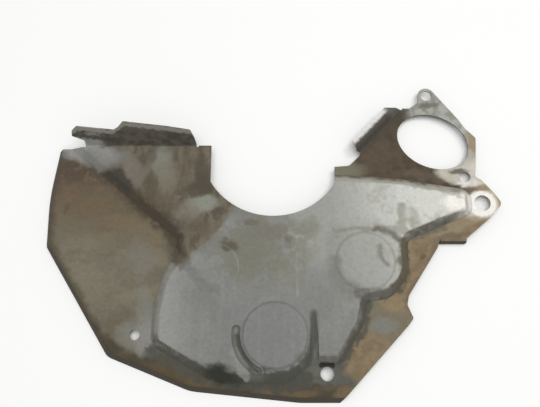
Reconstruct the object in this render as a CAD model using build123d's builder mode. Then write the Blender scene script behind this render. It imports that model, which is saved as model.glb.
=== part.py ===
from build123d import *
import os
from math import cos, radians, sin, sqrt, tan

os.makedirs("parts", exist_ok=True)

# Spacer plate between an engine block and its gearbox: one sheet of steel, drawn over a form,
# trimmed, pierced and then flanged. It lies as it comes to rest, on its turned-down lips with
# the raised face up. Sizes are in millimetres and angles in degrees. X and Y are measured from
# the axis of the crankshaft, X towards the starter side and Y away from the sump.

# Sheet and press tool
sheet = 1.5  # thickness of the steel
bend = 2.5  # inside radius of the bends
rim_height = 8.0  # top of the flat rim above the surface that the lips stand on
relief = 6.0  # rise of the raised face above the rim
wall_slope = 36.0  # walls of the raised face, from level
lip_slope = 58.0  # turned-down lips, from level
top_edge = 0.0  # straight trimmed edge at the level of the crankshaft
skirt_left = -224.3  # outermost corner of the turned-down lips on the left
skirt_lower = -244.5  # lowest run of the turned-down lips

# The press draws more than the trim leaves, so its outlines run on outside the finished plate
blank_left = skirt_left - rim_height
blank_right = 270.0
blank_lower = -260.0
blank_upper = 130.0
face_upper = 60.0


def on_circle(centre, radius, angle):
    """Point of a circle at an angle from the X axis."""
    x, y = centre
    return x + radius * cos(radians(angle)), y + radius * sin(radians(angle))


# Crankshaft opening, a circle with straight sides that is open at the top
crank_radius = 72.0
crank_half_width = 62.0
crank_inside = 50.0  # the trim enters the opening here, within its straight side

# Starter opening, an oval
starter_centre = (163.0, 8.5)
starter_length = 74.0
starter_width = 57.0
starter_turn = -24.0

# The starter's two bolt holes, one in an ear above the oval and one in the rim below it
starter_bolt_middle = (176.4, 15.1)
starter_bolt_span = 95.5
starter_bolt_turn = -70.4
starter_hole_radius = 5.5
ear_hole = on_circle(starter_bolt_middle, -starter_bolt_span / 2, starter_bolt_turn)
ring_hole = on_circle(starter_bolt_middle, starter_bolt_span / 2, starter_bolt_turn)
ear_radius = 8.7

# Dowel hole in the tip, and the two bolt holes in the lower rim
tip_hole = (207.1, -57.2)
tip_hole_radius = 8.0
tip_radius = 16.5
tip_reach = 19.5  # from the dowel hole to the tip's point, before its rounding
left_hole = (-128.3, -184.8)
left_hole_radius = 4.8
lower_hole = (49.1, -219.4)
lower_hole_radius = 6.3

# Corners of the lower edge of the turned-down lips, each with its rounding
skirt_corners = [
    (-216.5, blank_upper, 0),
    (-216.5, 20.0, 60),
    (skirt_left, -50.0, 220),
    (-222.0, -100.0, 9),
    (-154.0, -204.0, 14),
    (-76.0, -234.5, 40),
    (24.0, skirt_lower, 60),
    (blank_right, skirt_lower, 0),
    (blank_right, blank_upper, 0),
]

# Corners of the foot of the raised face's walls, which run on past the trimmed top edge and
# into the crankshaft opening
face_corners = [
    (-204.5, face_upper, 0),
    (-204.5, -0.5, 0),
    (-92.0, -96.0, 6),
    (-108.0, -136.0, 30),
    (-113.5, -165.0, 40),
    (-113.5, -193.5, 14),
    (-62.0, -223.0, 30),
    (-42.0, -228.0, 20),
    (14.0, -228.0, 16),
    (35.0, -211.5, 5),
    (62.5, -211.5, 11),
    (84.0, -176.5, 25),
    (89.5, -154.5, 6),
    (111.0, -152.0, 22),
    (130.0, -130.0, 25),
    (131.0, -95.5, 7),
    (163.0, -82.0, 60),
    (196.5, -69.0, 11),
    (196.5, -43.5, 11),
    (127.0, -31.5, 80),
    (crank_inside, -26.0, 12),
    (crank_inside, face_upper, 0),
]

# Shallow round bosses pressed into the raised face: centre, foot radius, height and the
# rounding of the crown's edge, which the lowest one has no room for
boss_slope = 30.0
boss_height = 1.4
low_boss_height = 0.8
crown_round = 2.0
right_boss_radius = 29.0
middle_boss_radius = 31.0
left_boss_radius = 24.0
right_boss = ((87.5, -116.5), right_boss_radius, boss_height, crown_round)
middle_boss = ((1.5, -185.0), middle_boss_radius, boss_height, crown_round)
left_boss = ((-56.0, -122.5), left_boss_radius, low_boss_height, 0)

# Grooves of a round tool beside the middle boss, an arc on its left and a run-out on its right.
# The run-out starts above the boss's centre and sinks to the rim below it.
groove_radius = 4.2
groove_depth = 3.2
groove_gap = 0.8  # flat strip between the boss and a groove
groove_arc_start = 172.0
groove_arc = 72.0
groove_run_start = 22.0
groove_run_end = -32.0

# Foot tab turned down at the edge under the tip
foot_left = 162.5
foot_right = 188.0
foot_face = -97.0
foot_root = foot_face + sheet + bend  # where the flat rim ends and the bend begins

# Stepped flange along the slanting edge beside the starter opening: it stands up from the edge
# and turns flat again. Its outline is given as distances along the edge and out from it.
step_start = (90.1, -0.9)
step_end = (135.4, 46.0)
step_rise = 6.5
step_run = 5.0
step_width = 13.2
step_corners = [
    (0.5, -5.0, 0),
    (68.0, -6.5, 0),
    (49.0, step_width, 1.5),
    (-0.5, step_width, 3),
    (-2.5, 9.0, 2),
    (-4.5, 3.0, 1),
]

# Trimmed outline, each corner with its rounding
trim_corners = [
    (blank_left, top_edge, 0),
    (crank_inside, top_edge, 0),
    (crank_inside, -20.0, 0),
    (77.0, -17.8, 4),
    (87.5, -7.5, 3),
    (*step_start, 0),
    (*step_end, 0),
    (137.5, 45.5, 0),
    (142.0, 45.8, 2),
    (150.8, 51.8, 3),
    (*on_circle(ear_hole, ear_radius, 180.0), 0),
    (*on_circle(ear_hole, ear_radius, 41.0), 0),
    (190.5, 34.5, 20),
    (198.0, 22.5, 5),
    (207.6, 12.5, 3),
    (204.0, -22.0, 10),
    (202.5, -29.5, 4),
    (208.5, -33.0, 3),
    (*on_circle(tip_hole, tip_radius, 40.0), 0),
    (*on_circle(tip_hole, tip_reach, -1.0), 5),
    (*on_circle(tip_hole, tip_radius, -69.0), 20),
    (foot_right, foot_root, 2),
    (foot_left, foot_root, 2),
    (158.5, -103.0, 0),
    (128.0, -148.5, 4),
    (126.0, -157.0, 3),
    (131.0, -169.5, 2),
    (126.0, -176.0, 2),
    (45.8, blank_lower, 0),
    (blank_left, blank_lower, 0),
]

# Tall flange turned up along the upper left edge, with its flat outline as distances along the
# edge and up the leg, and the low lip between it and the crankshaft opening
flange_angle = 60.0
flange_left = -188.5
flange_right = -77.0
flange_corners = [
    (flange_left, 0.0, 0),
    (flange_left, 5.0, 2),
    (-200.0, 10.5, 1),
    (-199.0, 16.5, 1),
    (-193.5, 22.0, 1),
    (-157.5, 17.5, 2),
    (-152.5, 21.0, 2),
    (-147.0, 27.5, 2),
    (-106.0, 22.0, 10),
    (-82.0, 17.5, 2),
    (-78.5, 7.5, 3),
    (flange_right, 0.0, 0),
]
low_lip_left = -75.0
low_lip_angle = 30.0

# Levels and reaches that follow
rim_middle = rim_height - sheet / 2
face_height = rim_height + relief
groove_half_width = sqrt(groove_radius**2 - (groove_radius - groove_depth) ** 2)
cut_height = face_height + relief  # cutting tools reach from below the plate to above it


def rounded(corners, inset=0.0):
    """Closed outline with a rounding at each corner, drawn in by the inset."""
    with BuildSketch() as shape:
        with BuildLine():
            Polyline(*[(x, y) for x, y, radius in corners], close=True)
        make_face()
        for x, y, radius in corners:
            if radius > 0:
                fillet(shape.vertices().sort_by_distance((x, y, 0))[0], radius)
        if inset > 0:
            offset(amount=-inset, kind=Kind.INTERSECTION)
    return shape.sketch


def pressed_form(skin):
    """Solid under the sheet: a skin of 0 gives its upper side, the sheet's own its lower side."""
    rim_top = rim_height - skin
    face_top = rim_top + relief
    outer_round = bend + sheet - skin
    inner_round = bend + skin
    with BuildPart() as form:
        # Flat rim with its lips running down to the resting plane
        with BuildSketch():
            add(rounded(skirt_corners, skin / sin(radians(lip_slope))))
        extrude(amount=rim_top, taper=90 - lip_slope)
        fillet(form.faces().sort_by(Axis.Z)[-1].edges(), outer_round)

        # Raised face
        with BuildSketch(Plane.XY.offset(rim_top)):
            add(rounded(face_corners, skin * tan(radians(wall_slope / 2))))
        extrude(amount=relief, taper=90 - wall_slope)
        fillet(form.faces().sort_by(Axis.Z)[-1].edges(), outer_round)
        rim = form.faces().filter_by(Axis.Z).sort_by(lambda face: abs(face.center().Z - rim_top))[0]
        fillet(rim.inner_wires()[0].edges(), inner_round)

        # Round bosses
        for (x, y), radius, height, rounding in (right_boss, middle_boss, left_boss):
            with BuildSketch(Plane.XY.offset(face_top)):
                with Locations((x, y)):
                    Circle(radius - skin * tan(radians(boss_slope / 2)))
            extrude(amount=height, taper=90 - boss_slope)
            if rounding > 0:
                crown = form.faces().sort_by_distance((x, y, face_top + height))[0]
                fillet(crown.edges(), rounding)

        # Grooves on both sides of the middle boss, an arc on its left and a run-out on its right
        (x, y), radius = middle_boss[:2]
        reach = radius + groove_gap + groove_half_width
        level = face_height + groove_radius - groove_depth
        arc_end = groove_arc_start + groove_arc
        start_side = Vector(cos(radians(groove_arc_start)), sin(radians(groove_arc_start)))
        end_side = Vector(cos(radians(arc_end)), sin(radians(arc_end)))
        arc_centre = Vector(x, y, level)
        with BuildSketch(Plane(arc_centre, x_dir=start_side, z_dir=start_side.cross(Vector(0, 0, 1)))):
            with Locations((reach, 0)):
                Circle(groove_radius + skin)
        revolve(axis=Axis(arc_centre, (0, 0, 1)), revolution_arc=groove_arc, mode=Mode.SUBTRACT)
        run_top = Vector(x + reach, y + groove_run_start, face_height + groove_radius)
        run_end = Vector(x + reach, y + groove_run_end, rim_height + groove_radius)
        with BuildSketch(Plane(run_top, z_dir=run_end - run_top)):
            Circle(groove_radius + skin)
        extrude(amount=(run_end - run_top).length, mode=Mode.SUBTRACT)
        ends = [arc_centre + start_side * reach, arc_centre + end_side * reach, run_end]
        for end in ends:
            with Locations(end):
                Sphere(groove_radius + skin, mode=Mode.SUBTRACT)
    return form.part


def leg(path_points, plane, width):
    """Strip of sheet that follows a bent path in the plane, pushed out along the plane's normal."""
    with BuildPart() as strip:
        with BuildSketch(plane):
            with BuildLine() as path:
                FilletPolyline(*path_points, radius=bend + sheet / 2)
            trace(path.line, line_width=sheet)
        extrude(amount=width)
    return strip.part


def stepped_flange():
    """Flange that steps up from the slanting edge and turns flat again, cut to its outline."""
    edge = Vector(*step_end) - Vector(*step_start)
    path = [
        (-3 * bend, rim_middle),
        (0, rim_middle),
        (step_run, rim_middle + step_rise),
        (step_width + bend, rim_middle + step_rise),
    ]
    section = Plane(Vector(*step_start) - edge, x_dir=Vector(0, 0, 1).cross(edge), z_dir=edge)
    with BuildPart() as flange:
        add(leg(path, section, 3 * edge.length))
        with BuildSketch(Plane(Vector(*step_start), x_dir=edge)):
            add(rounded(step_corners))
        extrude(amount=cut_height, mode=Mode.INTERSECT)
    return flange.part


with BuildPart() as spacer_plate:
    add(pressed_form(0.0))
    add(pressed_form(sheet), mode=Mode.SUBTRACT)

    # Trim
    with BuildSketch():
        add(rounded(trim_corners))
        with Locations(ear_hole):
            Circle(ear_radius)
    extrude(amount=cut_height, mode=Mode.INTERSECT)

    # Crankshaft opening, a circle with straight sides that is open at the top
    with BuildSketch():
        Circle(crank_radius)
        Rectangle(2 * crank_half_width, 2 * crank_radius, mode=Mode.INTERSECT)
        with Locations((0, crank_radius / 2)):
            Rectangle(2 * crank_half_width, crank_radius)
    extrude(amount=cut_height, mode=Mode.SUBTRACT)

    # Starter opening and the bolt and dowel holes
    with BuildSketch():
        with Locations(Location((*starter_centre, 0), (0, 0, starter_turn))):
            Ellipse(starter_length / 2, starter_width / 2)
        with Locations(ear_hole, ring_hole):
            Circle(starter_hole_radius)
        with Locations(tip_hole):
            Circle(tip_hole_radius)
        with Locations(left_hole):
            Circle(left_hole_radius)
        with Locations(lower_hole):
            Circle(lower_hole_radius)
    extrude(amount=cut_height, mode=Mode.SUBTRACT)

    # Upper left flange with its root bend, and the low lip beside it
    bend_axis = Axis((0, top_edge, face_height + bend), (1, 0, 0))
    for left, right, angle in (
        (flange_left, flange_right, flange_angle),
        (low_lip_left, -crank_half_width, low_lip_angle),
    ):
        with BuildSketch(Plane.XZ.offset(-top_edge)):
            with Locations(((left + right) / 2, face_height - sheet / 2)):
                Rectangle(right - left, sheet)
        revolve(axis=bend_axis, revolution_arc=angle)
    tilt = radians(flange_angle)
    flange_plane = Plane(
        origin=(0, top_edge + bend * sin(tilt), face_height + bend * (1 - cos(tilt))),
        x_dir=(1, 0, 0),
        z_dir=(0, -sin(tilt), cos(tilt)),
    )
    with BuildSketch(flange_plane):
        add(rounded(flange_corners))
    extrude(amount=-sheet)

    # Stepped flange beside the starter opening
    add(stepped_flange())

    # Foot tab
    foot_middle = foot_face + sheet / 2
    foot_path = [(foot_middle + 3 * bend, rim_middle), (foot_middle, rim_middle), (foot_middle, 0)]
    add(leg(foot_path, Plane.YZ.offset(foot_left), foot_right - foot_left))

    spacer_plate.part.label = "spacer_plate"

export_step(spacer_plate.part, "parts/spacer_plate.step")
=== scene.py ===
import math

import bpy
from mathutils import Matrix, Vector


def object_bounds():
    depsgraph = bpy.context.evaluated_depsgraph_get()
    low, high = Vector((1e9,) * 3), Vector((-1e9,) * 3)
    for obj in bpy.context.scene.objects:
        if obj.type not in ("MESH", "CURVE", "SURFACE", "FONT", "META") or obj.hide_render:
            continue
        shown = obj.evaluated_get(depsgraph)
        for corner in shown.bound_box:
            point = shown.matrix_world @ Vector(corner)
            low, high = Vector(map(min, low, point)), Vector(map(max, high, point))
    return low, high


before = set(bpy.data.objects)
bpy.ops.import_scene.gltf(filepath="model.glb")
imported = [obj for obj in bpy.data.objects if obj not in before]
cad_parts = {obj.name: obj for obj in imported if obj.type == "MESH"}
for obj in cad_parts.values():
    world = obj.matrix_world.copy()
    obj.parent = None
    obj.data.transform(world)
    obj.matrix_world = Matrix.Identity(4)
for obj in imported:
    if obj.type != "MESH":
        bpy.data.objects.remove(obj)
cad_low, cad_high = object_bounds()
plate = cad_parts["spacer_plate"]

# The camera looks down steeply at the plate from the side of its lower edge, from about half a
# metre away.
camera_tilt = 17.0
camera = bpy.data.objects.new("camera", bpy.data.cameras.new("camera"))
camera.data.lens = 38.6
camera.location = (-0.0030, -0.2250, 0.5553)
camera.rotation_euler = (math.radians(camera_tilt), 0, 0)
bpy.context.collection.objects.link(camera)
bpy.context.scene.camera = camera
bpy.context.scene.view_settings.view_transform = "Standard"

# The table top that the plate lies on is a wide white matt board. It is white where it is looked
# at, but throws less light back under the plate, so the holes and lips keep dark undersides.
floor_half = 3.0
floor_gap = 0.0002
floor_level = cad_low.z - floor_gap
floor_mesh = bpy.data.meshes.new("floor")
corner_signs = ((-1, -1), (1, -1), (1, 1), (-1, 1))
floor_corners = [(floor_half * x, floor_half * y, floor_level) for x, y in corner_signs]
floor_mesh.from_pydata(floor_corners, [], [(0, 1, 2, 3)])
floor = bpy.data.objects.new("floor", floor_mesh)
bpy.context.collection.objects.link(floor)


def linear(colour):
    """Linear light of an sRGB colour such as #8c8a86."""
    parts = [int(colour[start : start + 2], 16) / 255 for start in (1, 3, 5)]
    return [part / 12.92 if part < 0.04045 else ((part + 0.055) / 1.055) ** 2.4 for part in parts]


def add_node(material, kind, links=None, output=0, **settings):
    """Adds a shader node. Links gives its sockets a value or another node's output."""
    node = material.node_tree.nodes.new("ShaderNode" + kind)
    for name, value in settings.items():
        setattr(node, name, value)
    for socket, value in (links or {}).items():
        if isinstance(value, bpy.types.NodeSocket):
            material.node_tree.links.new(value, node.inputs[socket])
        else:
            node.inputs[socket].default_value = value
    return node.outputs[output]


# White matt paint: bright and without gloss where it is looked at, and grey to other rays.
white_table = bpy.data.materials.new("white_matt_paint")
white_table.use_nodes = True
looked_at = add_node(white_table, "LightPath", output="Is Camera Ray")
for ray in ("Is Glossy Ray", "Is Transmission Ray"):
    also = {0: looked_at, 1: add_node(white_table, "LightPath", output=ray)}
    looked_at = add_node(white_table, "Math", also, operation="MAXIMUM")
looks = {0: looked_at, 6: (*linear("#a0a0a0"), 1), 7: (*linear("#fafaf9"), 1)}
table_colour = add_node(white_table, "Mix", looks, output=2, data_type="RGBA")
table_shader = white_table.node_tree.nodes["Principled BSDF"]
white_table.node_tree.links.new(table_colour, table_shader.inputs["Base Color"])
table_shader.inputs["Roughness"].default_value = 0.9
floor_mesh.materials.append(white_table)

# Soft light: an even white room, a wide lamp straight above that only lights the colours, and a
# small one on the far right side that also shines in the smoother steel.
room_light = 0.415
lit_place = Vector((0, -0.1, 0))
world = bpy.data.worlds.new("room")
world.use_nodes = True
world.node_tree.nodes["Background"].inputs["Color"].default_value = (1, 1, 1, 1)
world.node_tree.nodes["Background"].inputs["Strength"].default_value = room_light
bpy.context.scene.world = world
for name, lamp_place, size, energy, shines in (
    ("overhead_lamp", (0.0, -0.10, 2.40), 1.9, 30.1, False),
    ("side_lamp", (1.44, 0.84, 2.70), 1.2, 20.6, True),
):
    lamp = bpy.data.objects.new(name, bpy.data.lights.new(name, "AREA"))
    lamp.data.shape = "DISK"
    lamp.data.size = size
    lamp.data.energy = energy
    lamp.visible_glossy = shines
    lamp.location = lamp_place
    lamp.rotation_euler = (lit_place - lamp.location).to_track_quat("-Z", "Y").to_euler()
    bpy.context.collection.objects.link(lamp)

# The plate is one sheet of steel, pressed, trimmed, pierced and flanged. Its finish is bare sheet
# stained by oil, rust and grease: grey and faintly shiny where it is clean, brown and dull where
# it isn't. Places on it are in millimetres from the crankshaft's axis, as it was drawn.
steel = bpy.data.materials.new("stained_sheet_steel")
steel.use_nodes = True
plate.data.materials.clear()
plate.data.materials.append(steel)
here = add_node(steel, "TexCoord", output=3)
place = add_node(steel, "VectorMath", {0: here, 3: 1000.0}, operation="SCALE")


def ramp(value, start, end):
    """Rises smoothly from 0 to 1 while the value goes from start to end."""
    links = {"Value": value, "From Min": start, "From Max": end}
    return add_node(steel, "MapRange", links, interpolation_type="SMOOTHSTEP", clamp=False)


def clouds(size, detail=3.0, stretch=(1, 1, 1), output=0):
    """Cloudy pattern with patches of the given size in millimetres."""
    links = {0: place, 1: tuple(1 / (size * share) for share in stretch)}
    scaled = add_node(steel, "VectorMath", links, operation="MULTIPLY")
    look = {"Vector": scaled, "Scale": 1.0, "Detail": detail}
    return add_node(steel, "TexNoise", look, output=output)


def strayed(size, most):
    """Flat place that strays by up to some millimetres, to give masks ragged edges."""
    links = {0: clouds(size, output=1), 1: (2 * most, 2 * most, 0), 2: (-most, -most, 0)}
    stray = add_node(steel, "VectorMath", links, operation="MULTIPLY_ADD")
    flat_place = {0: place, 1: (1, 1, 0), 2: stray}
    return add_node(steel, "VectorMath", flat_place, operation="MULTIPLY_ADD")


ragged = strayed(12.0, 7.0)
crisp = strayed(4.0, 1.5)


def both(*masks):
    """Where all the masks meet."""
    result = masks[0]
    for mask in masks[1:]:
        result = add_node(steel, "Math", {0: result, 1: mask}, operation="MULTIPLY")
    return result


def either(*masks):
    """Where any of the masks is."""
    result = masks[0]
    for mask in masks[1:]:
        result = add_node(steel, "Math", {0: result, 1: mask}, operation="MAXIMUM")
    return result


def reach(vector, x, y):
    """How far a vector reaches along another one in the plane of the sheet."""
    links = {0: vector, 1: (x, y, 0)}
    return add_node(steel, "VectorMath", links, output=1, operation="DOT_PRODUCT")


def spot(centre, size, turn=0.0, soft=0.7, at=ragged):
    """Oval mask with the given half sizes. The soft edge is a share of the size."""
    away = add_node(steel, "VectorMath", {0: at, 1: (*centre, 0)}, operation="SUBTRACT")
    cos, sin = math.cos(math.radians(turn)), math.sin(math.radians(turn))
    along = reach(away, cos / size[0], sin / size[0])
    across = reach(away, -sin / size[1], cos / size[1])
    squares = {0: across, 1: across, 2: both(along, along)}
    distance_squared = add_node(steel, "Math", squares, operation="MULTIPLY_ADD")
    return ramp(distance_squared, (1 + soft / 2) ** 2, (1 - soft / 2) ** 2)


def band(start, end, width, soft=3.0, at=ragged):
    """Stripe mask with round ends, whose edge is soft over some millimetres."""
    run = Vector(end) - Vector(start)
    away = add_node(steel, "VectorMath", {0: at, 1: (*start, 0)}, operation="SUBTRACT")
    share = either(reach(away, *(run / run.length_squared)), 0.0)
    share = add_node(steel, "Math", {0: share, 1: 1.0}, operation="MINIMUM")
    nearest = add_node(steel, "VectorMath", {0: (*run, 0), 3: share}, operation="SCALE")
    gap = add_node(steel, "VectorMath", {0: away, 1: nearest}, output=1, operation="DISTANCE")
    return ramp(gap, width / 2 + soft, width / 2)


def beyond(point, direction, soft=4.0, at=ragged):
    """Mask of what lies past a line through the point, in the direction."""
    unit = Vector(direction).normalized()
    line = unit.dot(Vector(point))
    return ramp(reach(at, *unit), line - soft, line + soft)


def paint(under, over, mask, strength=1.0):
    """Lays a colour over another where the mask says."""
    links = {0: both(mask, strength) if strength < 1 else mask}
    for socket, colour in ((6, under), (7, over)):
        links[socket] = (*linear(colour), 1) if isinstance(colour, str) else colour
    return add_node(steel, "Mix", links, output=2, data_type="RGBA")


def patches(under, *rows):
    """Lays soft oval patches over a colour. A row has the colour, centre, half sizes, turn and
    strength of one patch."""
    for colour, centre, size, turn, strength in rows:
        under = paint(under, colour, spot(centre, size, turn, 1.3), strength)
    return under


# The raised face is drawn up from the sheet. It is bare zinc-grey steel, bluish and paler at its
# lower left, duller in the middle, and paler again towards the arm, partly as cleaner steel and
# partly as a painted highlight of the side lamp, with faint rubbing lines.
mottle = ramp(clouds(22.0), 0.35, 0.65)
skin = paint("#7f807c", "#878884", mottle)
skin = paint(skin, "#989994", beyond((-86, -160), (-1, 0), 18))
# Painted highlight, in part: the steps of paler grey towards the arm stand in for the lamp's
# sheen.
arm_side = both(beyond((16, -100), (1, 0), 10), beyond((30, -116), (0.3, 1), 14))
skin = paint(skin, "#999a93", arm_side)
skin = paint(skin, "#a9aaa3", beyond((70, -62), (1, 0.25), 16))
skin = paint(skin, "#b9bab3", beyond((92, -58), (1, 0.20), 14))
skin = paint(skin, "#c6c7c1", beyond((118, -56), (1, 0.10), 14))
skin = patches(
    skin,
    ("#8e8f8b", (-44, -83), (11, 8), 0, 0.7),
    ("#8b8c88", (-58, -116), (13, 9), 0, 0.9),
    ("#a2a39b", (66, -78), (14, 10), 30, 0.6),
    ("#979891", (26, -66), (12, 8), 30, 0.6),
    ("#83847e", (66, -160), (9, 22), -10, 0.6),
    ("#85867f", (64, -106), (10, 22), 10, 0.6),
    ("#7f807d", (1, -185), (36, 34), 0, 0.8),
    ("#9a9b95", (90, -118), (26, 30), 0, 0.8),
)
streak = ramp(clouds(5.0, stretch=(1, 14, 1)), 0.45, 0.75)
skin = paint(skin, "#969791", streak, 0.2)
skin = paint(skin, "#a3a49f", band((22, -78), (22.5, -150), 0.6, 1.6, crisp), 0.35)
patchy = clouds(9.0, 5.0)
rubbed = both(beyond((70, -70), (1, 0), 16), ramp(patchy, 0.50, 0.64))
skin = paint(skin, "#9e9c91", rubbed, 0.5)

# Clutch and oil dust has settled on the face under the crankshaft opening: an olive bloom with a
# few darker flecks in it.
face_top = 14.0
height = add_node(steel, "SeparateXYZ", {0: place}, output=2)
face = ramp(height, face_top - 1.4, face_top - 0.6)
dust = both(face, spot((-12, -104), (46, 34), 0, 0.8), ramp(patchy, 0.38, 0.54))
skin = paint(skin, "#7c7a6c", dust, 0.75)
skin = patches(
    skin,
    ("#797a6c", (-22, -108), (14, 20), 0, 0.8),
    ("#79756a", (-6, -88), (14, 8), 0, 0.8),
    ("#7f7e72", (34, -84), (10, 9), 20, 0.7),
    ("#7e7d6e", (3, -119), (9, 5), 0, 0.7),
    ("#85857a", (14, -132), (12, 8), 0, 0.5),
    ("#6c6659", (-22, -78), (6, 3), 0, 0.7),
    ("#5f5747", (-42, -101), (8, 4), -35, 0.9),
    ("#66635a", (15, -95), (3, 3), 0, 0.6),
    ("#58503f", (-90, -112), (5, 8), -30, 0.9),
    ("#645d50", (-85, -120), (4, 6), -20, 0.7),
)

# Oil has run down the upper left of the raised face and baked on: a brown stain with streaks down
# from its edge, and patches where the grey sheet still shows.
run_down = ramp(clouds(7.0, 4.0, stretch=(1, 3, 1)), 0.40, 0.62)
stain = paint("#6c6555", "#595143", run_down)
stain = paint(stain, "#756e5f", ramp(patchy, 0.54, 0.68), 0.6)
stain = patches(
    stain,
    ("#7c7c78", (-171, -10), (12, 8), 0, 1.0),
    ("#73716c", (-152, -11), (8, 7), 0, 1.0),
    ("#786f67", (-141, -25), (8, 8), 0, 0.9),
    ("#6f685f", (-133, -31), (8, 8), 0, 0.8),
    ("#7c7b70", (-112, -14), (10, 12), -10, 1.0),
    ("#777365", (-109, -29), (9, 10), 0, 0.9),
    ("#736d5e", (-104, -45), (6, 9), 0, 0.8),
    ("#565043", (-122, -8), (4, 10), 0, 0.7),
    ("#554e40", (-121, -39), (6, 9), 0, 0.8),
    ("#5b5446", (-86, -28), (5, 18), 0, 0.5),
    ("#4d453a", (-68, -38), (7, 20), 10, 0.9),
    ("#514a3f", (-56, -64), (5, 8), 20, 0.9),
    ("#85867b", (-69, -60), (13, 7), 0, 1.0),
    ("#777166", (-84, -68), (10, 8), 20, 0.8),
    ("#5c5546", (-74, -84), (14, 6), -30, 0.7),
    ("#4f473b", (-73, -46), (12, 6), 0, 0.9),
    ("#5a5242", (-112, -58), (16, 10), -35, 0.7),
)
stain_edge = both(
    beyond((-48, -78), (-0.83, 0.56), 4),
    beyond((-74, -107), (-0.60, 0.80), 4),
)
skin = paint(skin, stain, both(face, stain_edge))


def not_in(mask):
    """Everywhere that the mask isn't."""
    return add_node(steel, "Math", {0: 1.0, 1: mask}, operation="SUBTRACT")


def trail(points, width, soft=3.0, at=ragged):
    """Stripe mask along a chain of points."""
    stretches = zip(points, points[1:])
    return either(*[band(start, end, width, soft, at) for start, end in stretches])


# The left panel of the flat rim isn't drawn up. Rust and old oil cover it, redder at the top and
# olive lower down, with a greyer ring round the bolt hole where a washer sat.
rim_top = 8.0
rim = not_in(ramp(height, rim_top + 0.3, rim_top + 1.6))
speckle = clouds(3.5, 4.0)
panel = paint("#6f6a5a", "#77715f", mottle)
panel = paint(panel, "#655a48", beyond((-170, -84), (0.15, 1), 26))
panel = paint(panel, "#52463a", beyond((-180, -38), (-0.1, 1), 18))
panel = paint(panel, "#635e4f", beyond((-145, -166), (0.4, -1), 10), 0.8)
panel = paint(panel, "#4e4735", beyond((-150, -192), (-0.5, -1), 10))
bloom = both(ramp(patchy, 0.52, 0.64), beyond((-150, -88), (0.1, 1), 26))
panel = paint(panel, "#715d47", bloom, 0.6)
flecks = both(ramp(speckle, 0.60, 0.72), beyond((-150, -96), (0.1, 1), 20))
panel = paint(panel, "#594e3e", flecks, 0.5)
panel = patches(
    panel,
    ("#6f5a45", (-200, -47), (11, 7), 30, 0.5),
    ("#6b5b46", (-176, -62), (14, 7), 10, 0.6),
    ("#71634d", (-150, -78), (14, 8), 0, 0.7),
    ("#706651", (-122, -90), (20, 8), -30, 0.8),
    ("#777161", (-190, -110), (20, 14), 30, 0.6),
    ("#77736a", (-125, -118), (10, 20), 20, 0.6),
    ("#4f4738", (-202, -62), (3, 5), 0, 0.5),
    ("#65604f", (-140, -166), (7, 6), 0, 0.7),
    ("#7b786f", (-128, -184), (13, 12), 0, 0.9),
    ("#7b7a71", (-118, -168), (7, 22), 10, 0.8),
    ("#84837d", (-115, -186), (10, 14), 0, 0.9),
)
outer_edge = trail(((-214, -12), (-220, -50), (-217, -98), (-160, -188)), 3, 7)
panel = paint(panel, "#51493a", outer_edge, 0.8)
panel = paint(panel, "#5f5443", ramp(clouds(16.0, 4.0, (2, 1, 1)), 0.50, 0.66), 0.4)
left_rim = both(rim, beyond((-62, 0), (-1, 0), 8))
skin = paint(skin, panel, left_rim)

# Black grease from the gearbox coats the lower rim. Outside the line where the gearbox was
# clamped, a strip of brown rust follows the edge.
blotch = ramp(patchy, 0.42, 0.60)
grease = paint("#4c4b43", "#56554d", blotch)
grease = patches(
    grease,
    ("#3b3a33", (-44, -223), (17, 8), -20, 1.0),
    ("#45443a", (5, -223), (24, 5), 0, 0.8),
    ("#5f5f59", (49, -222), (20, 14), 0, 0.6),
)
lower_rim = both(rim, beyond((-104, -200), (0.5, -1), 8), beyond((70, -190), (-0.8, -0.55), 5))
skin = paint(skin, grease, lower_rim)
strip = paint("#474032", "#554b3a", ramp(clouds(9.0, stretch=(3, 1, 1)), 0.45, 0.62))
strip = patches(
    strip,
    ("#5f4f38", (-66, -228), (14, 5), -15, 0.8),
    ("#574932", (-94, -218), (14, 5), -20, 0.7),
    ("#705c41", (-8, -237), (10, 4), 0, 0.9),
    ("#66583f", (24, -237), (14, 4), 0, 0.8),
    ("#706044", (64, -238), (12, 5), 30, 0.9),
)
lower_edge = trail(((-170, -190), (-146, -211), (-80, -234), (20, -243), (92, -246)), 24, 6)
skin = paint(skin, strip, both(rim, lower_edge), 0.95)

# The right rim is flat sheet with an orange-brown film of rust, worn olive and grey near its outer
# corner. Round the tip the film is thin, but for a darker edge and one orange patch.
film = paint("#84735a", "#77684f", blotch)
film = patches(
    film,
    ("#756e5c", (104, -168), (25, 17), -30, 0.9),
    ("#797a74", (102, -177), (9, 6), 0, 0.8),
    ("#8f7d5d", (113, -157), (12, 5), -15, 0.7),
    ("#8a7b60", (126, -112), (8, 10), 0, 0.7),
    ("#594d3a", (144, -111), (2.5, 3.5), 0, 0.8),
    ("#8f8068", (180, -80), (24, 5), 25, 0.8),
    ("#6a5f4d", (172, -91), (16, 3), 10, 0.7),
)
film = paint(film, "#6b5e48", trail(((163, -97), (130, -147), (126, -160)), 3, 4), 0.6)
tip_film = paint("#c0b7a5", "#97866a", spot((206, -39), (12, 7), 0, 0.9))
tip = both(beyond((182, -72), (1, 1.0), 4), beyond((200, -72), (0.25, 1), 4))
film = paint(film, tip_film, tip)
clear_of_seat = not_in(spot((206.5, -57.2), (16.5, 16), 0, 0.2, crisp))
tip_edge = both(spot((207, -57), (26, 24)), clear_of_seat)
film = paint(film, "#957f5f", both(tip_edge, beyond((212, -62), (1, -0.35), 5)), 0.9)
right_rim = both(rim, beyond((66, -215), (0.85, 0.50), 4), beyond((210, -34), (0.2, -1), 6))
skin = paint(skin, film, right_rim)

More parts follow.
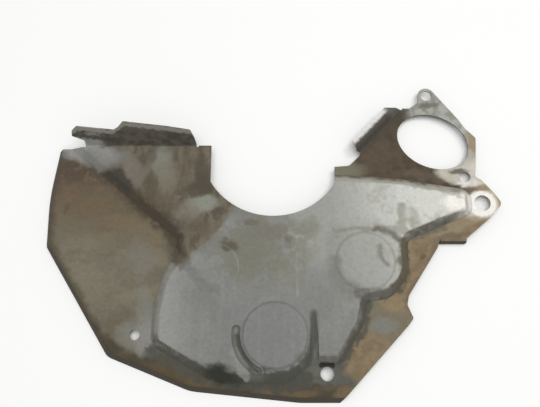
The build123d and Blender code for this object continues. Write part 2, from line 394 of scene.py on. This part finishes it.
# The triangle of flat sheet between the starter opening and the arm is soaked with dark brown
# oil, which thins to grey at its left end.
oil = paint("#524737", "#483e2f", blotch)
oil = patches(
    oil,
    ("#5b503f", (106, -6), (16, 12), 0, 0.5),
    ("#665c4c", (150, -29), (20, 4), -10, 0.5),
    ("#77725f", (62, -23), (24, 9), 0, 0.9),
    ("#8b8574", (183, -33), (8, 4), -15, 0.7),
)
triangle = both(
    rim,
    beyond((150, -42), (0.17, 1), 4),
    beyond((188, -24), (-0.5, -0.35), 12),
)
skin = paint(skin, oil, triangle)

# The ring round the starter opening is cleaner steel, because the starter's flange was clamped on
# it with two bolts. It is grey above, pale below, and rusty where it is narrowest on the right.
ring = paint("#85857b", "#a0a098", ramp(patchy, 0.38, 0.58))
ring = paint(ring, "#9f9a8b", beyond((199, 8), (1, 0), 4))
ring = paint(ring, "#8a7a60", spot((205, 9), (6, 13), 0, 0.7), 0.9)
ring = paint(ring, "#bfbaad", beyond((180, -17), (0.2, -1), 5), 0.9)
ring = patches(
    ring,
    ("#dedad1", (194, -38), (11, 4), 0, 0.9),
    ("#63635a", (161, 49), (10, 3), 10, 0.9),
    ("#75756b", (168, 56), (3, 6), -20, 0.7),
    ("#5c594f", (186, -24), (8, 3), 0, 0.9),
)
ring_zone = either(
    both(beyond((143, 42), (1, 0.35), 2, crisp), beyond((150, 26), (0.1, 1), 4, crisp)),
    beyond((184, 0), (1, 0.1), 3, crisp),
    spot((188, -28), (24, 10), -12, 0.5, crisp),
)
skin = paint(skin, ring, both(rim, ring_zone, beyond((190, -41), (-0.15, 1), 2, crisp)))

# Hands and tools have left smudges of grease on the pale arm, and dirt has gathered in soft lines
# round the bosses beside it.
for points, width, soft, colour, strength in (
    (((60, -88), (74, -86), (98, -84)), 1, 4, "#86847a", 0.8),
    (((98, -84), (109, -87), (118, -92), (126, -100)), 1, 6, "#615b50", 0.85),
    (((126, -64), (125, -80)), 2, 7, "#8d8e7f", 0.8),
    (((137, -66), (136, -80)), 1, 7, "#96968a", 0.7),
    (((124, -79), (142, -78)), 1, 4, "#9b988b", 0.7),
    (((112, -84), (136, -88), (150, -83)), 1, 4, "#8b887d", 0.7),
    (((101, -103), (103, -111), (109, -120)), 1, 5, "#7a796d", 0.8),
    (((58, -118), (59, -130), (66, -141), (76, -147)), 5, 9, "#7c7c75", 0.85),
    (((-78, -126), (-73, -134), (-64, -141), (-52, -144)), 2, 5, "#7a7b75", 0.8),
    (((-24, -168), (-12, -155), (4, -151)), 1, 4, "#8b8c88", 0.5),
):
    skin = paint(skin, colour, both(face, trail(points, width, soft)), strength)

# The slanting walls are the sheet drawn up between rim and face. Grime has settled on them,
# darker towards their feet, and they carry painted shade and light: the walls along the lower
# edge are painted darker, and those facing the far edge paler. The wall beside the left panel is
# nearly clean, and the arm's walls grow pale towards its end, partly as worn steel and partly as a
# painted highlight.
facing = add_node(steel, "NewGeometry", output=1)
faces_up = add_node(steel, "SeparateXYZ", {0: facing}, output=2)
flat = ramp(faces_up, 0.93, 0.985)
above_rim = ramp(height, rim_top + 0.1, rim_top + 0.8)
slope = both(not_in(flat), above_rim, ramp(height, face_top, face_top - 0.8))
wall_crest = ramp(height, rim_top + 1.5, face_top - 1.5)
wall_grime_and_shade = paint("#504d44", "#66635a", wall_crest)
wall_grime_and_shade = paint(wall_grime_and_shade, "#50493b", beyond((-78, -70), (-1, 0.6), 12))
left_wall = both(beyond((-96, -112), (-0.1, -1), 7), beyond((-108, -190), (-0.5, 1), 10))
left_wall = both(left_wall, beyond((-80, -150), (-1, 0), 8, place))
wall_grime_and_shade = paint(wall_grime_and_shade, paint("#77746a", "#85867e", wall_crest), left_wall)
# Painted shade: the walls along the lower edge are darker.
wall_grime_and_shade = paint(wall_grime_and_shade, "#56564e", beyond((-60, -204), (-0.4, -1), 6), 0.9)
# Painted light: walls facing the far edge are paler, most of all near the arm's end, where a
# painted highlight is added.
faces_far = add_node(steel, "SeparateXYZ", {0: facing}, output=1)
far_wall_painted_light = both(ramp(faces_far, 0.05, 0.25), beyond((40, 0), (1, 0), 10))
wall_grime_and_shade = paint(wall_grime_and_shade, paint("#625b4d", "#a09d91", wall_crest), far_wall_painted_light)
wall_grime_and_shade = paint(wall_grime_and_shade, "#969185", both(far_wall_painted_light, beyond((156, -40), (1, 0), 10)), 0.7)
wall_grime_and_shade = paint(wall_grime_and_shade, "#8f8b80", beyond((176, -72), (1, 0.1), 8), 0.8)
cover = {0: ramp(patchy, 0.62, 0.42), 1: 0.4, 2: 0.6}
skin = paint(skin, wall_grime_and_shade, both(slope, add_node(steel, "Math", cover, operation="MULTIPLY_ADD")))

# Dirt and grease have crept over the feet and crests of the walls, and the lips stay clear of it.
# Two places at the upper left are rubbed grey again, and a black lump of grease hangs below.
lip = both(ramp(faces_up, 0.80, 0.70), ramp(height, rim_top, rim_top - 0.6))
thick = ramp(patchy, 0.28, 0.46)
for points, width, soft, colour, strength in (
    (((-166, -24), (-136, -54), (-105, -80), (-95, -92), (-91, -108)), 7, 10, "#473f32", 0.95),
    (((-160, -28), (-150, -35), (-143, -43)), 5, 6, "#403c35", 0.9),
    (((-100, -104), (-93, -114)), 4, 5, "#5b5547", 0.8),
    (((-110, -199), (-90, -209), (-66, -219)), 7, 6, "#4d4c43", 0.9),
    (((-66, -222), (-46, -226), (-8, -229), (14, -229), (30, -222)), 9, 5, "#49483f", 0.9),
    (((-20, -217), (2, -221), (16, -219), (26, -214), (32, -206)), 7, 3, "#4b4b44", 0.95),
    (((28, -206), (38, -214)), 8, 5, "#62625b", 0.6),
    (((64, -209), (86, -172), (88, -152)), 5, 5, "#4f4d45", 0.9),
    (((80, -147), (95, -148), (110, -147), (118, -140)), 5, 4, "#615f56", 0.8),
    (((118, -142), (124, -128), (125, -98)), 6, 4, "#59523f", 0.9),
    (((131, -94), (150, -86), (166, -79)), 4, 4, "#635f56", 0.7),
):
    skin = paint(skin, colour, both(trail(points, width, soft), thick, not_in(lip)), strength)
skin = patches(
    skin,
    ("#8d8d89", (-190, -4), (26, 8), -12, 1.0),
    ("#7d7c77", (-176, -14), (16, 7), -20, 0.9),
    ("#2f2f28", (-47, -220.5), (14, 6.5), -14, 1.0),
)
skin = paint(skin, "#8a8b86", trail(((-36, -199), (-31, -209), (-24, -221)), 6, 2.5), 0.9)
# Painted shadow: a black bar at the wall's foot above the lower bolt hole stands in for the shade
# under the sheet.
skin = paint(skin, "#22211d", band((44, -211.4), (54, -211.4), 3, 1.6, crisp), 0.95)

# The three round bosses are pressed into the face. The lowest one has a thin darker line round its
# foot, and round the others painted light pales the foot to soften its shading. The two grooves
# beside it are painted dark inside as shade.
tilted = not_in(ramp(faces_up, 0.955, 0.99))
at_face_top = ramp(height, face_top - 0.1, face_top + 0.1)
boss_edge = both(tilted, at_face_top, ramp(faces_up, 0.7, 0.8))
on_lowest_boss = spot((1.5, -185), (36, 36), 0, 0.2, place)
skin = paint(skin, "#74746e", both(boss_edge, on_lowest_boss), 0.35)
# Painted light on the feet of the two upper bosses.
skin = paint(skin, "#b2b3ac", both(boss_edge, not_in(on_lowest_boss)), 0.2)
left_groove = spot((-23, -200), (15, 25), 25, 0.6, place)
right_groove = spot((37, -182), (8, 28), 0, 0.5, place)
skin = paint(skin, "#70706a", both(slope, either(left_groove, right_groove)), 0.7)
# Painted shade inside the two grooves.
in_grooves = either(
    trail(((-33.5, -186), (-32, -194), (-26, -205), (-19, -214)), 1, 4, crisp),
    trail(((37.5, -166), (37.5, -186), (34, -200), (31, -210)), 2, 5, crisp),
)
skin = paint(skin, "#4e4e47", in_grooves, 0.85)

# The arm's end, its end wall and the seat of the dowel hole are bright worn steel, polished by
# what was clamped on them, and painted paler still as a highlight of the side lamp. A dull line
# follows the arm's far crest and the foot of the end wall.
# Painted highlight over the worn steel of the arm's end, its end wall and the dowel seat.
arm_wear_and_highlight = either(band((150, -58), (184, -59), 10, 10), spot((140, -48), (14, 5), 0, 1.2))
skin = paint(skin, "#c8c6be", both(face, arm_wear_and_highlight), 0.8)
skin = paint(skin, "#e9e6de", both(face, spot((178, -58), (9, 6), 0, 1.3)), 0.9)
seat = both(rim, spot((206.5, -57.8), (14.5, 13.5), 0, 0.25, crisp))
end_wall = spot((190, -58), (12, 9), 0, 0.7)
skin = paint(skin, "#e3e0d9", either(seat, end_wall), 0.95)
far_crest = trail(((140, -42), (157, -44), (170, -48), (183, -52)), 1, 3)
skin = paint(skin, "#a9a59b", both(face, far_crest), 0.8)
skin = paint(skin, "#b5b1a6", band((190, -50), (190, -66), 1.0, 2.5, crisp), 0.8)

# The lips along the left and lower edge are the sheet bent down to the table. They are dark,
# partly with old oil and partly as painted shade, since they face away from the light.
# Painted shade with old oil: the dark colour of the lips.
skin = paint(skin, "#443e32", lip)

# The tall flange is the sheet turned up along the upper left edge. Its face, turned away from the
# light, is painted dark as shade. It is painted light grey where it runs out to the left, and a
# painted highlight runs along its upper edge.
behind_edge = beyond((-130, 0.5), (0, 1), 0.8, place)
tall_flange = both(behind_edge, ramp(height, face_top - 1.0, face_top + 0.5))
# Painted shade: the dark colour of the flange's face.
flange_colour_and_light = paint("#4a453e", "#5d574d", blotch)
upper_middle = both(beyond((-130, 10), (0.1, 1), 3), beyond((-108, 0), (-1, 0), 16))
flange_colour_and_light = paint(flange_colour_and_light, "#5e584e", upper_middle)
# Painted light: grey where the flange runs out to the left.
left_end = either(spot((-186, 3), (16, 5)), band((-202, 16), (-172, 12), 2, 2, crisp))
flange_colour_and_light = paint(flange_colour_and_light, "#8d8e89", left_end)
left_fold = trail(((-200, 8.5), (-184, 7), (-160, 5)), 1, 1.5, crisp)
flange_colour_and_light = paint(flange_colour_and_light, "#45443f", left_fold, 0.9)
# Painted highlight along the flange's upper edge.
upper_edge = ((-200, 9.5), (-193, 12), (-158, 10), (-147, 14.8), (-106, 12), (-80, 9.8))
flange_colour_and_light = paint(flange_colour_and_light, "#918e86", trail(upper_edge, 1, 1.5, crisp), 0.95)
skin = paint(skin, flange_colour_and_light, both(tall_flange, beyond((-70, 5), (-1, 0), 3)))
skin = paint(skin, "#46423b", both(tall_flange, beyond((-76, 0), (1, 0), 1, place)))

# The stepped flange is turned up from the slanting edge beside the starter opening and then flat
# again. It has a pale top painted as light, a riser painted dark as shade, painted shade along its
# foot, and a darker far end.
past_edge = beyond((110, 20), (-0.72, 0.69), 0.8, place)
step_zone = both(past_edge, beyond((86, -3), (0.1, 1), 2, place))
step_top = ramp(height, rim_top + 3.4, rim_top + 5.4)
step_top_painted_light = both(step_top, beyond((84, 5), (-0.72, 0.69), 2.0, crisp))
# Painted shade along the foot of the stepped flange, and over the whole step for its riser.
skin = paint(skin, "#46423a", trail(((92, -2), (136, 43)), 3, 5), 0.7)
skin = paint(skin, "#4b4740", step_zone)
# Painted light: the pale top of the step.
skin = paint(skin, "#dadad6", both(step_zone, step_top_painted_light))
skin = paint(skin, "#5c5b55", both(step_zone, beyond((118, 38), (0.69, 0.72), 4, crisp)))

# The cut edges run round the outline and the holes. The trimming and piercing tools leave them
# rough, and old dirt keeps them dull.
cut_edge = both(ramp(faces_up, 0.40, 0.25), ramp(height, rim_top - 3.0, rim_top - 2.0))
skin = paint(skin, "#67655d", cut_edge, 0.7)

# A fine grain of dirt and rubbing lies over everything, with specks of about 3.5 mm. The real ones
# are finer and would not show.
grain = {"Value": speckle, "From Min": 0.3, "From Max": 0.7, "To Min": 0.92, "To Max": 1.07}
shade = add_node(steel, "MapRange", grain)
skin = add_node(steel, "VectorMath", {0: skin, 3: shade}, operation="SCALE")

# Oil and rust leave the skin dull and pitted. Clean steel is smoother and shines a little. The
# pits are drawn 1.6 mm wide, coarser than real ones, so that they show.
pit_width = 1.6
pit_depth = 0.0003
shader = steel.node_tree.nodes["Principled BSDF"]
steel.node_tree.links.new(skin, shader.inputs["Base Color"])
stained_face = both(face, stain_edge)
soiled_rim = either(left_rim, lower_rim, right_rim, triangle)
soiled = either(soiled_rim, stained_face, slope, lip, tall_flange)
clean = either(both(not_in(soiled), not_in(step_zone)), seat, both(face, arm_wear_and_highlight))
for socket, soiled_value, clean_value in (("Roughness", 0.72, 0.46), ("Metallic", 0.0, 0.25)):
    between = {"Value": clean, "To Min": soiled_value, "To Max": clean_value}
    steel.node_tree.links.new(add_node(steel, "MapRange", between), shader.inputs[socket])
pitted = add_node(steel, "MapRange", {"Value": clean, "To Min": 0.5, "To Max": 0.12})
bump = {"Strength": pitted, "Distance": pit_depth, "Height": clouds(pit_width)}
steel.node_tree.links.new(add_node(steel, "Bump", bump), shader.inputs["Normal"])
